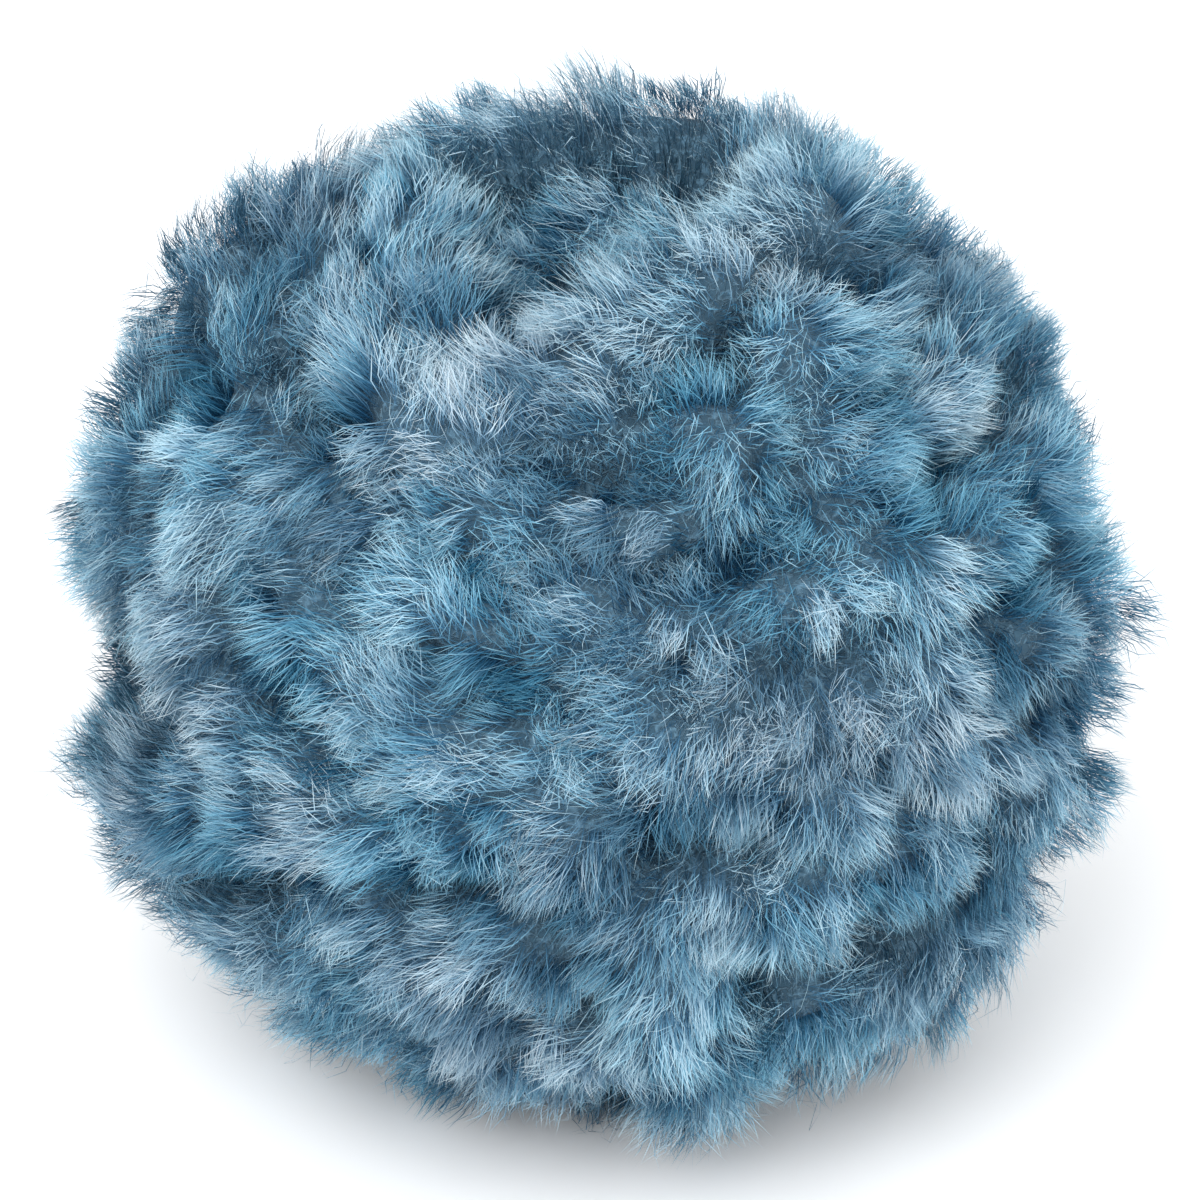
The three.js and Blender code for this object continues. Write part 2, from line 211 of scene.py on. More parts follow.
# Where the pile was brushed its own way: the middle of a tuft, how far it reaches and its lie
Brushed = namedtuple("Brushed", "across up reach lie")
BRUSHED = (
    Brushed(4, 56, reach=13, lie=212),
    Brushed(20, 54, reach=13, lie=212),
    Brushed(-14, 52, reach=11, lie=215),
    Brushed(17, 43, reach=10, lie=160),
    Brushed(2, 31, reach=10, lie=185),
    Brushed(-16, 24, reach=9, lie=100),
    Brushed(-30, 45, reach=12, lie=100),
    Brushed(-48, 7, reach=12, lie=215),
    Brushed(-36, 18, reach=9, lie=230),
    Brushed(-22, -20, reach=12, lie=190),
    Brushed(0, 10, reach=9, lie=215),
    Brushed(32, -4, reach=12, lie=250),
    Brushed(15, -16, reach=11, lie=235),
    Brushed(30, 22, reach=11, lie=300),
    Brushed(48, 30, reach=12, lie=110),
    Brushed(50, -24, reach=12, lie=290),
    Brushed(5, -44, reach=14, lie=250),
    Brushed(-24, -44, reach=12, lie=215),
)

class UndercoatSettings(PropertyGroup):
    """The pressed pile close to the yarn, which shows as depth between the locks."""

    crest_depth: FloatProperty(
        name="Depth on crests",
        description="How far the undercoat lies under the wound form on the crests of its turns",
        default=0.0025,
        min=0,
        max=0.01,
        **METRES,
    )
    valley_depth: FloatProperty(
        name="Depth of valleys",
        description="How much deeper it lies in the valleys between them",
        default=0.003,
        min=0,
        max=0.01,
        **METRES,
    )
    # The dark patches that set how deep the gaps are are partly painted shade
    gap_depth: FloatProperty(
        name="Depth of gaps",
        description="How deep a gap in the pile would be where the dye patches darken it fully",
        default=0.008,
        min=0,
        max=0.02,
        **METRES,
    )
    steps: IntProperty(
        name="Steps",
        description="Rings of faces from the top of the ball to its foot",
        default=80,
        min=16,
        max=180,
    )
    colour: FloatVectorProperty(
        name="Colour",
        description="Colour of the pile in the depth between the locks",
        subtype="COLOR",
        size=3,
        min=0,
        max=1,
        default=(0.02, 0.052, 0.08),
    )


class PileSettings(PropertyGroup):
    """The pile: locks, the wisps in each and the fibres in each wisp."""

    locks: IntProperty(
        name="Locks",
        description="Locks of pile that lie one way, over the whole ball",
        default=2500,
        min=200,
        max=6000,
    )
    wisps: IntProperty(
        name="Wisps",
        description="Wisps of fibres over the whole ball, to which the fuzz adds a quarter as many",
        default=18000,
        min=1000,
        max=20000,
    )
    length: FloatProperty(
        name="Length",
        description="Length of the pile, of which each layer and lock takes its own share",
        default=0.009,
        min=0.004,
        max=0.02,
        **METRES,
    )
    width: FloatProperty(
        name="Width",
        description="Width of a fine fibre, of which each layer takes its own share",
        default=0.00008,
        min=0.00005,
        max=0.0006,
        **METRES,
    )
    lean: FloatProperty(
        name="Lean",
        description="How steeply a lock stands on the ball",
        default=math.radians(39),
        min=0,
        max=math.radians(90),
        subtype="ANGLE",
    )
    seed: IntProperty(
        name="Seed",
        description="Which of many even pelts is grown",
        default=7,
        min=0,
    )


class StageSettings(PropertyGroup):
    """The floor, the soft studio light and the camera."""

    distance: FloatProperty(
        name="Camera distance",
        description="From the camera to the middle of the ball",
        default=0.9,
        min=0.3,
        max=5,
        **METRES,
    )
    frame_width: FloatProperty(
        name="Frame width",
        description="How wide a view the camera takes at the ball",
        default=0.1458,
        min=0.05,
        max=1,
        **METRES,
    )
    sky: FloatProperty(
        name="Sky strength",
        description="Strength of the even white light from all round",
        default=1.25,
        min=0,
        max=5,
    )
    key: FloatProperty(
        name="Key power",
        description="Power of the large soft lamp over the camera, in watts",
        default=11.0,
        min=0,
        max=200,
    )
    floor_colour: FloatVectorProperty(
        name="Floor colour",
        description="Colour of the pale floor",
        subtype="COLOR",
        size=3,
        min=0,
        max=1,
        default=(0.86, 0.87, 0.88),
    )


def unit(vectors):
    """The vectors at length one."""
    return vectors / np.maximum(np.linalg.norm(vectors, axis=-1, keepdims=True), 1e-12)


def dot(first, second):
    """The dot product of each pair of rows, as a column."""
    return np.sum(first * second, axis=-1, keepdims=True)


def along_surface(vectors, directions):
    """What of the vectors lies along the ball at each direction from its centre."""
    return vectors - dot(vectors, directions) * directions


def turned(vectors, axes, angles):
    """Vectors at right angles to their axes, turned about them."""
    angles = np.reshape(angles, (-1, 1))
    return vectors * np.cos(angles) + np.cross(axes, vectors) * np.sin(angles)


def smoothstep(values, low, high):
    """From 0 at low to 1 at high, with soft ends."""
    share = np.clip((values - low) / (high - low), 0, 1)
    return share * share * (3 - 2 * share)


class LaidTurn:
    """One turn of the yarn as it lies on the ball."""

    def __init__(self, index, turn):
        lean = math.radians(AXIS_LEAN)
        along = unit(np.array([AXIS_SIDE, -math.sin(lean), math.cos(lean)]))
        right = unit(np.cross([0, 1, 0], along))
        back = np.cross(along, right)
        tilt, toward = math.radians(turn.tilt), math.radians(turn.toward)
        across = right * math.cos(toward) + back * math.sin(toward)
        self.index = index
        self.turn = turn
        self.axis = along * math.cos(tilt) + across * math.sin(tilt)
        self.start = unit(np.cross(self.axis, TURN_START))
        self.quarter = np.cross(self.axis, self.start)
        self.orbit = TURN_ORBIT + turn.lift

    def unevenness(self, waves, angle):
        """The sum of some waves along the turn."""
        return sum(w.size * np.sin(w.waves * angle + w.shift * self.index) for w in waves)

    def angle(self, directions):
        """How far round the turn each direction lies."""
        return np.arctan2(directions @ self.quarter, directions @ self.start)

    def reach(self, directions):
        """How far the turn reaches from the ball's centre, or 0 where it doesn't lie."""
        latitude = np.arcsin(np.clip(directions @ self.axis, -1, 1))
        angle = self.angle(directions)
        away = latitude - math.asin(self.turn.offset / self.orbit) - self.unevenness(SWAY, angle)
        half_width = TURN_RADIUS * self.turn.width * (1 + self.unevenness(SWELL, angle))
        across = self.orbit * np.sin(away)
        on_turn = (np.abs(across) < half_width) & (np.cos(away) > 0)
        round_part = np.sqrt(np.maximum(half_width**2 - across**2, 0))
        return np.where(on_turn, self.orbit * np.cos(away) + round_part, 0)


LAID_TURNS = [LaidTurn(index, turn) for index, turn in enumerate(TURNS)]


def foot_reach(directions):
    """How far the pile gathered under the ball reaches."""
    edge = math.atan2(FLAT_RADIUS, CENTRE_HEIGHT)
    angle = np.arccos(np.clip(-directions[:, 2], -1, 1))
    gone = smoothstep(angle, edge, edge + math.radians(FOOT_FADE))
    full = math.hypot(FLAT_RADIUS, CENTRE_HEIGHT)
    return full + (CORE_RADIUS - full) * gone


def lump(directions):
    """Low uneven lumps of pile over the turns, which end under the ball."""
    spots = directions * (2 * math.pi * CORE_RADIUS / LUMP_PITCH)
    waves = [
        np.sin(spots @ wave.first + wave.first_phase) * np.sin(spots @ wave.second + wave.second_phase)
        for wave in LUMPS
    ]
    return LUMP_HEIGHT * sum(waves) * (1 - smoothstep(-directions[:, 2], LEVEL_FOOT, LEVEL_SPOT))


def form_radius(directions):
    """The wound form's radius: its core and all its turns, softly blended, with the lumps."""
    reaches = [np.full(len(directions), CORE_RADIUS), foot_reach(directions)]
    reaches += [turn.reach(directions) for turn in LAID_TURNS]
    reaches = np.array(reaches)
    highest = reaches.max(0)
    share = np.exp((reaches - highest) / TURN_BLEND).sum(0)
    return highest + TURN_BLEND * np.log(share) + lump(directions)


def puff_rise(directions):
    """How far the pile puffs out or sinks in at the outline that the camera sees, and on behind it."""
    right, up, near = view_axes()
    behind = np.minimum(directions @ near, 0)[:, None]
    directions = unit(directions - PUFF_STRETCH * behind * near)
    rise = np.zeros(len(directions))
    for puff in PUFFS:
        angle = math.radians(puff.angle)
        away = np.arccos(np.clip(directions @ (right * math.cos(angle) + up * math.sin(angle)), -1, 1))
        rise += puff.rise * np.exp(-((away / math.radians(puff.reach)) ** 2))
    return rise * smoothstep(directions[:, 2], PUFF_END, PUFF_START)


def shape_radius(directions):
    """The wound form's radius with the puffs of its outline."""
    return form_radius(directions) + puff_rise(directions)


def crest_share(directions):
    """From 0 in the creases between the turns to 1 on their crests."""
    first, second = across_surface(directions)
    around = np.zeros(len(directions))
    for step in range(CREASE_SPOTS):
        angle = 2 * math.pi * step / CREASE_SPOTS
        way = first * math.cos(angle) + second * math.sin(angle)
        around += form_radius(unit(directions + way * (CREASE_SPAN / CORE_RADIUS))) / CREASE_SPOTS
    return smoothstep(form_radius(directions) - around, -CREASE_DEPTH, CREASE_DEPTH)


def pile_depth(directions):
    """How deep the undercoat lies under the tops of the turns: deeper in creases and dark gaps."""
    settings = bpy.context.scene.yarn_undercoat
    creases = settings.valley_depth / MM * (1 - crest_share(directions))
    gaps = -settings.gap_depth / MM * np.minimum(patch_dye_and_shade(directions), 0)
    return settings.crest_depth / MM + creases + gaps


def undercoat_radius(directions, depth):
    """The undercoat's radius, flat where the floor presses it."""
    floor = CENTRE_HEIGHT / np.maximum(-directions[:, 2], 1e-6)
    return np.minimum(shape_radius(directions) - depth, floor)


def pile_swirl(directions):
    """The slow swirls of the pile over the ball."""
    waves = [np.sin(directions @ np.array(s.across) + s.phase) for s in SWIRLS]
    return along_surface(np.stack(waves, 1), directions)


def view_axes():
    """Right, up and towards the camera, at the photograph's angle."""
    elevation = math.radians(VIEW_ELEVATION)
    right = np.array([1.0, 0.0, 0.0])
    up = np.array([0.0, math.sin(elevation), math.cos(elevation)])
    near = np.array([0.0, -math.cos(elevation), math.sin(elevation)])
    return right, up, near


def seen_place(directions):
    """Across, up and near of places as the camera sees them, in millimetres from the ball's middle."""
    place = directions @ np.stack(view_axes(), 1) * form_radius(directions)[:, None]
    distance = bpy.context.scene.yarn_stage.distance / MM
    return place * (distance / (distance - place[:, 2:]))


def patch_dye_and_shade(directions):
    """How far the patches move the tone at each place: the dye's pale and dark patches, painted shade and
    painted light.
    """
    place = seen_place(directions)
    tone = np.zeros(len(directions))
    for patch in DYE_AND_SHADE_PATCHES:
        slant = math.radians(patch.slant)
        right, up = place[:, 0] - patch.across, place[:, 1] - patch.up
        lengthways = (right * math.cos(slant) + up * math.sin(slant)) / patch.length
        sideways = (up * math.cos(slant) - right * math.sin(slant)) / patch.width
        tone += patch.tone * np.exp(-(lengthways**2) - sideways**2)
    return tone * smoothstep(place[:, 2], -VIEW_EDGE, VIEW_EDGE)


def brushed_lie(directions):
    """The pull of the tufts that were brushed their own way."""
    right, up, _ = view_axes()
    place = seen_place(directions)
    pull = np.zeros((len(directions), 3))
    for tuft in BRUSHED:
        away = np.hypot(place[:, 0] - tuft.across, place[:, 1] - tuft.up) / tuft.reach
        lie = math.radians(tuft.lie)
        way = right * math.cos(lie) + up * math.sin(lie)
        pull += np.exp(-(away**2))[:, None] * way
    near = smoothstep(place[:, 2], -VIEW_EDGE, VIEW_EDGE)[:, None]
    return along_surface(pull, directions) * near


def across_surface(directions):
    """Two directions along the ball's surface, at right angles."""
    first = unit(along_surface(np.array([SKEW]), directions))
    return first, np.cross(directions, first)


def downhill(directions):
    """The way the wound form falls from its turns into its valleys, and how steeply."""
    fall = np.zeros((len(directions), 3))
    for way in across_surface(directions):
        ahead = shape_radius(unit(directions + SLOPE_STEP * way))
        behind = shape_radius(unit(directions - SLOPE_STEP * way))
        fall -= ((ahead - behind) / (2 * SLOPE_STEP * CORE_RADIUS))[:, None] * way
    return fall


def pile_lie(directions):
    """Which way the pile lies: outwards from the front, with swirls, into the valleys."""
    _, _, near = view_axes()
    outwards = along_surface(np.tile(-near, (len(directions), 1)), directions)
    lie = OUTWARD_PULL * outwards + SWIRL_PULL * pile_swirl(directions)
    lie += DOWNHILL_PULL * downhill(directions) + BRUSHED_PULL * brushed_lie(directions)
    return unit(lie)


def dye_tone(directions):
    """The dye's tone, which changes along the yarn: each turn has its own paler and darker runs."""
    reaches = np.array([turn.reach(directions) for turn in LAID_TURNS])
    top = reaches.argmax(0)
    tone = np.zeros(len(directions))
    for turn in LAID_TURNS:
        run = turn.unevenness(DYE_RUNS, turn.angle(directions))
        tone = np.where(top == turn.index, run, tone)
    return tone


def dye_kind(directions):
    """Which dye the pile took at each place: its number in the table, or one between two."""
    tangle = sum(np.sin(directions @ np.array(s.across) + s.phase) for s in DYE_TANGLE)
    return DYE_MIDDLE + DYE_CHANGE * tangle


def spread(count, unevenness, draw):
    """Directions spread evenly over the ball on a spiral, each moved a little from its place."""
    index = np.arange(count)
    height = 1 - (2 * index + 1) / count
    level = np.sqrt(1 - height**2)
    around = index * GOLDEN_ANGLE
    places = np.stack([level * np.cos(around), level * np.sin(around), height], 1)
    spacing = math.sqrt(4 * math.pi / count)
    return unit(places + draw.normal(0, unevenness * spacing, places.shape))


def spread_on_slopes(count, unevenness, draw):
    """Directions spread evenly over the pile's surface: about count, and more where it is steep."""
    places = spread(MOST_CROWDED * count, unevenness, draw)
    steepness = SLOPE_WEIGHT * np.linalg.norm(downhill(places), axis=1)
    return places[draw.random(len(places)) < np.hypot(1, steepness) / MOST_CROWDED]


def nearest(places, centres, batches=16):
    """The number of the centre that is nearest to each place, both on the unit sphere."""
    found = [np.argmax(some @ centres.T, axis=1) for some in np.array_split(places, batches)]
    return np.concatenate(found)


def tips(roots, directions, lie, length, lean):
    """Where fibres of a length that lean along their lie would end."""
    lean = np.reshape(lean, (-1, 1))
    length = np.reshape(length, (-1, 1))
    return roots + length * (np.cos(lean) * lie + np.sin(lean) * directions)


def clear_of_undercoat(points, depth, margin):
    """The points, moved out where they would lie less than margin over the undercoat."""
    directions = unit(points)
    radius = np.linalg.norm(points, axis=1)
    least = undercoat_radius(directions, depth) + margin
    return directions * np.maximum(radius, least)[:, None]


# A layer of fibres: its wisps, the fibres in each, and how these differ from their locks
Layer = namedtuple("Layer", "name wisps cuts fibres length width frizz lift tone", defaults=(0, 0))

# Where a fibre is cut across on its way from root to tip, and its share of full width there
Cut = namedtuple("Cut", "share width")
BENT = (Cut(0, 0), Cut(0.55, 1), Cut(1, 0))
CURVED = (Cut(0, 1), Cut(0.25, 1), Cut(0.5, 1), Cut(0.75, 0.8), Cut(1, 0))
WAVY = (Cut(0, 1), Cut(0.17, 1), Cut(0.33, 1), Cut(0.5, 0.9), Cut(0.67, 0.8), Cut(0.83, 0.6), Cut(1, 0))


class Pelt:
    """The locks of the ball with their wisps and fibres, in millimetres from its centre."""

    # A lock: how it differs from the pile about it in its place, angles, tone, height and dye
    LOCK_UNEVENNESS = 0.35
    LOCK_TURN = 0.7
    LOCK_LEAN = 0.3
    LOCK_TONE = 0.085
    LOCK_RISE = 0.9
    LOCK_DYE = 0.35
    LOCK_FRIZZ = (0.2, 0.6)
    # Its length: from the first share of the pile's by up to the second, of which few take much
    LOCK_SHORTEST = 0.8
    LOCK_LONGER = 0.4
    LOCK_RARITY = 1.5
    CREASE_LENGTH = 0.74  # of a lock in a crease, and how much longer it is on a crest
    CREST_LENGTH = 0.3
    # Painted shade: hollow locks are painted darker, as gaps in shade between the others
    HOLLOWS = 0.14  # share of the locks that are short and dark, as gaps between the others
    HOLLOW_LENGTH = 0.6
    HOLLOW_SHADE = 0.24
    # How far the wisps of a lock go to its tip, in the share of the locks that are gathered
    GATHERED = 0.8
    GATHERED_PULL = (0.25, 0.7)
    FANNED_PULL = -0.2

    # A wisp: how far it keeps its lock's lie, and how it differs from it
    WISP_UNEVENNESS = 0.4
    LOCK_SHARE = 0.75
    WISP_TURN = 0.25
    WISP_LENGTH = (0.88, 1.12)
    WISP_LEAN = 0.12
    WISP_TONE = 0.04
    # Painted shade: a wisp in a crease between the turns is painted darker, as shade falls there
    CREASE_SHADE = 0.2  # how much darker it is in a crease
    CREASE_SHADE_POWER = 1.5
    TONE_PLACE = 0.6  # where on the way from root to tip a patch gives it its tone

    # A fibre: how it differs from its wisp
    FIBRE_PLACE = 0.5
    FIBRE_LENGTH = (0.8, 1.08)
    FIBRE_LEAN = 0.5
    FIBRE_DYE = 0.45
    FIBRE_TONE = 0.07
    FIBRE_WIDTH = (0.75, 1.25)
    FIBRE_TWIST = (-0.9, 0.9)
    MIDDLE_TONE = 0.6
    # Painted highlight: glints are fibres painted paler, as light catching single hairs
    GLINTS = 0.1  # share of the fibres that are paler, and by how much
    GLINT_TONE = 0.14
    WISP_PULL = 0.35  # how far its tip goes to its wisp's
    ROOT_DEPTH = 0.4  # of its root in the undercoat, and the least height of its tip over that
    TIP_HEIGHT = 0.8
    BEND_RISE = 0.7  # where its middle control point lies, as shares of its rise and reach
    BEND_REACH = 0.35
    BOW = 0.38
    CRIMP = 0.7
    WAVES = (0.6, 1.6)

    def __init__(self, settings):
        self.draw = np.random.default_rng(settings.seed)
        draw = self.draw
        self.locks = spread(settings.locks, self.LOCK_UNEVENNESS, draw)
        count = len(self.locks)
        crest = crest_share(self.locks)
        hollow = draw.random(count) < self.HOLLOWS
        lie_turn = draw.normal(0, self.LOCK_TURN, count)
        self.lock_lie = turned(pile_lie(self.locks), self.locks, lie_turn)
        longer = self.LOCK_LONGER * draw.random(count) ** self.LOCK_RARITY
        self.lock_length = settings.length / MM * (self.LOCK_SHORTEST + longer)
        self.lock_length *= self.CREASE_LENGTH + self.CREST_LENGTH * crest
        self.lock_length *= np.where(hollow, self.HOLLOW_LENGTH, 1)
        self.lock_lean = settings.lean + draw.normal(0, self.LOCK_LEAN, count)
        self.lock_tone = draw.normal(0, self.LOCK_TONE, count) - self.HOLLOW_SHADE * hollow
        gathered = draw.random(count) < self.GATHERED
        pull = draw.uniform(*self.GATHERED_PULL, count)
        self.lock_pull = np.where(gathered, pull, self.FANNED_PULL)
        self.lock_rise = draw.normal(0, self.LOCK_RISE, count)
        self.lock_dye = draw.normal(0, self.LOCK_DYE, count)
        self.lock_frizz = draw.uniform(*self.LOCK_FRIZZ, count)
        roots = self.locks * undercoat_radius(self.locks, pile_depth(self.locks))[:, None]
        self.lock_tips = tips(roots, self.locks, self.lock_lie, self.lock_length, self.lock_lean)

    def fibres(self, layer):
        """All fibres of a layer, as arrays with one row a fibre."""
        draw = self.draw
        wisps = spread_on_slopes(layer.wisps, self.WISP_UNEVENNESS, draw)
        lock = nearest(wisps, self.locks)
        fall = downhill(wisps)
        depth = pile_depth(wisps)
        wisp_lie = self.LOCK_SHARE * self.lock_lie[lock] + (1 - self.LOCK_SHARE) * pile_lie(wisps)
        wisp_lie = unit(along_surface(wisp_lie, wisps))
        wisp_lie = turned(wisp_lie, wisps, draw.normal(0, self.WISP_TURN, len(wisps)))
        wisp_length = self.lock_length[lock] * layer.length
        wisp_length *= draw.uniform(*self.WISP_LENGTH, len(wisps))
        wisp_lean = self.lock_lean[lock] + layer.lift
        wisp_lean += draw.normal(0, self.WISP_LEAN, len(wisps))
        depth -= np.maximum(self.lock_rise[lock], 0)
        wisp_roots = wisps * undercoat_radius(wisps, depth)[:, None]
        wisp_tips = tips(wisp_roots, wisps, wisp_lie, wisp_length, wisp_lean)
        pull = self.lock_pull[lock][:, None]
        wisp_tips += pull * along_surface(self.lock_tips[lock] - wisp_tips, wisps)
        wisp_tone = layer.tone + self.lock_tone[lock]
        wisp_tone += draw.normal(0, self.WISP_TONE, len(wisps)) + dye_tone(wisps)
        # painted shade in the creases between the turns
        wisp_tone -= self.CREASE_SHADE * (1 - crest_share(wisps)) ** self.CREASE_SHADE_POWER
        toned = (1 - self.TONE_PLACE) * wisp_roots + self.TONE_PLACE * wisp_tips
        wisp_tone += patch_dye_and_shade(unit(toned))
        wisp_dye = dye_kind(wisps) + self.lock_dye[lock]

        wisp = np.repeat(np.arange(len(wisps)), layer.fibres)
        count = len(wisp)
        frizz = self.lock_frizz[lock][wisp] * layer.frizz
        spacing = math.sqrt(4 * math.pi / len(wisps))
        directions = wisps[wisp] + draw.normal(0, self.FIBRE_PLACE * spacing, (count, 3))
        directions = unit(directions)
        lie = unit(along_surface(wisp_lie[wisp], directions))
        lie = turned(lie, directions, draw.normal(0, 1, count) * frizz)
        length = wisp_length[wisp] * draw.uniform(*self.FIBRE_LENGTH, count)
        lean = wisp_lean[wisp] + draw.normal(0, self.FIBRE_LEAN, count) * frizz
        ground = undercoat_radius(directions, depth[wisp])
        roots = directions * (ground - self.ROOT_DEPTH)[:, None]
        ends = tips(roots, directions, lie, length, lean)
        ends += self.WISP_PULL * (wisp_tips[wisp] - ends)
        ends = clear_of_undercoat(ends, depth[wisp], self.TIP_HEIGHT)
        along = ends - roots
        rise = dot(along, directions) * directions
        reach = along - rise
        bow = draw.normal(0, self.BOW, (count, 3)) * (frizz * length)[:, None]
        glint = draw.random(count) < self.GLINTS
        crimp = draw.normal(0, self.CRIMP, (count, 3)) * frizz[:, None]
        waves = draw.uniform(*self.WAVES, count)
        tone = self.MIDDLE_TONE + wisp_tone[wisp] + draw.normal(0, self.FIBRE_TONE, count)
        dye = np.round(wisp_dye[wisp] + draw.normal(0, self.FIBRE_DYE, count))
        return {
            "directions": directions,
            "surface": unit(directions + fall[wisp]),
            "roots": roots,
            "bends": roots + self.BEND_RISE * rise + self.BEND_REACH * reach + bow,
            "ends": ends,
            "crimp": crimp,
            "waves": waves,
            "tone": tone + self.GLINT_TONE * glint,
            "dye": np.clip(dye, 0, len(DYES) - 1),
            "width": layer.width * draw.uniform(*self.FIBRE_WIDTH, count),
            "twist": draw.uniform(*self.FIBRE_TWIST, count),
        }


def over_floor(points):
    """Points from the ball's centre, bent up where they would sink into the floor."""
    height = CENTRE_HEIGHT + points[..., 2]
    lifted = np.maximum(height, FLOOR_GAP + FLOOR_RISE * np.abs(height)) - CENTRE_HEIGHT
    return np.concatenate([points[..., :2], lifted[..., None]], -1)


class FibreMesh:
    """The points and faces of fibres: ribbons from cut to cut, pointed where a cut has no width."""

    TONE_WIDTH = 0.06  # between the two edges of a fibre, so that its faces have width on the map
    # Partly frosted tips, partly painted shade: the root darker deep in the pile, the tip paler where the
    # light reaches it
    FROSTED_TIP_AND_ROOT_SHADE = 0.26  # how much paler its tip is than its root
    PALEST = 0.88
    FACE_SHARE = 0.35  # of the ribbon's own way and the surface's in how a fibre takes the light
    SURFACE_SHARE = 0.75

    def __init__(self, fibres, cuts):
        self.fibres = fibres
        count = len(fibres["roots"])
        columns, faces, edge = [], [], []
        for cut in cuts:
            start = len(columns)
            columns += self.points_at(cut)
            last_edge, edge = edge, list(range(start, len(columns)))
            if last_edge:
                faces.append(last_edge + edge[::-1])
        points, normals, places = (np.stack(values, 1) for values in zip(*columns))
        own_corners = np.arange(count)[:, None] * len(columns) + np.concatenate(faces)
        self.points = over_floor(points).reshape(-1, 3)
        self.normals = normals.reshape(-1, 3)
        self.corners = own_corners.ravel()
        self.places = places.reshape(-1, 2)[self.corners]
        self.sizes = np.tile([len(face) for face in faces], count)

    def points_at(self, cut):
        """The points, shading normals and map places of all fibres at a cut."""
        fibres, share, rest = self.fibres, cut.share, 1 - cut.share
        roots, bends, ends = fibres["roots"], fibres["bends"], fibres["ends"]
        middle = rest * rest * roots + 2 * rest * share * bends + share * share * ends
        middle += np.sin(2 * math.pi * fibres["waves"] * share)[:, None] * fibres["crimp"]
        tangent = unit(rest * (bends - roots) + share * (ends - bends))
        side = turned(unit(np.cross(tangent, fibres["directions"])), tangent, fibres["twist"])
        normal = self.FACE_SHARE * np.cross(side, tangent)
        normal = unit(normal + self.SURFACE_SHARE * fibres["surface"])
        out = 0.5 * cut.width * fibres["width"][:, None] * side
        found = []
        for way in (-1, 1) if cut.width else (0,):
            # paler towards the tip, with painted shade towards the root
            paler = way * self.TONE_WIDTH / 2 + self.FROSTED_TIP_AND_ROOT_SHADE * (share - 0.5)
            tone = np.clip(fibres["tone"] + paler, 0, self.PALEST)
            across = (fibres["dye"] + MAP_MARGIN + (1 - 2 * MAP_MARGIN) * tone) / len(DYES)
            place = np.stack([across, np.full(len(across), share)], 1)
            found.append((middle + way * out, normal, place))
        return found


def mesh_of(name, points, corners, sizes):
    """A mesh object at the origin, from points in metres, the faces' corners and their sizes."""
    mesh = bpy.data.meshes.new(name)
    mesh.vertices.add(len(points))
    mesh.vertices.foreach_set("co", np.asarray(points, np.float32).ravel())
    mesh.loops.add(len(corners))
    mesh.loops.foreach_set("vertex_index", np.asarray(corners, np.int32))
    mesh.polygons.add(len(sizes))
    starts = np.concatenate([[0], np.cumsum(sizes)[:-1]])
    mesh.polygons.foreach_set("loop_start", starts.astype(np.int32))
    mesh.polygons.foreach_set("use_smooth", np.ones(len(sizes), bool))
    mesh.update(calc_edges=True)
    piece = bpy.data.objects.new(name, mesh)
    bpy.context.scene.collection.objects.link(piece)
    return piece


def in_metres(points):
    """Points from the ball's centre in millimetres, in the ball's own frame in metres."""
    return (points + np.array([0, 0, CENTRE_HEIGHT])) * MM


def pile_piece(name, fibres, cuts, material):
    """One piece of pile from the arrays of its fibres."""
    made = FibreMesh(fibres, cuts)
    piece = mesh_of(name, in_metres(made.points), made.corners, made.sizes)
    layer = piece.data.uv_layers.new(name="OFBake")
    layer.data.foreach_set("uv", made.places.astype(np.float32).ravel())
    piece.data.normals_split_custom_set_from_vertices(made.normals.astype(np.float32))
    piece.data.materials.append(material)
    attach(piece, BODY)
    return piece


class Wire:
    """A value socket in a material, which adds Math nodes when it is reckoned with."""

    def __init__(self, paint, socket):
        self.paint = paint
        self.socket = socket

    def reckon(self, operation, *others):
        values = {number + 1: other for number, other in enumerate(others)}
        return self.paint.node("ShaderNodeMath", {"operation": operation}, {0: self, **values})

    def __mul__(self, other):
        return self.reckon("MULTIPLY", other)

    def __sub__(self, other):
        return self.reckon("SUBTRACT", other)

    def __rsub__(self, other):
        return self.paint.node("ShaderNodeMath", {"operation": "SUBTRACT"}, {0: other, 1: self})

    __rmul__ = __mul__

    def size(self):
        """The value without its sign."""
        return self.reckon("ABSOLUTE")

    def at_least(self, other):
        """The larger of the value and another."""
        return self.reckon("MAXIMUM", other)


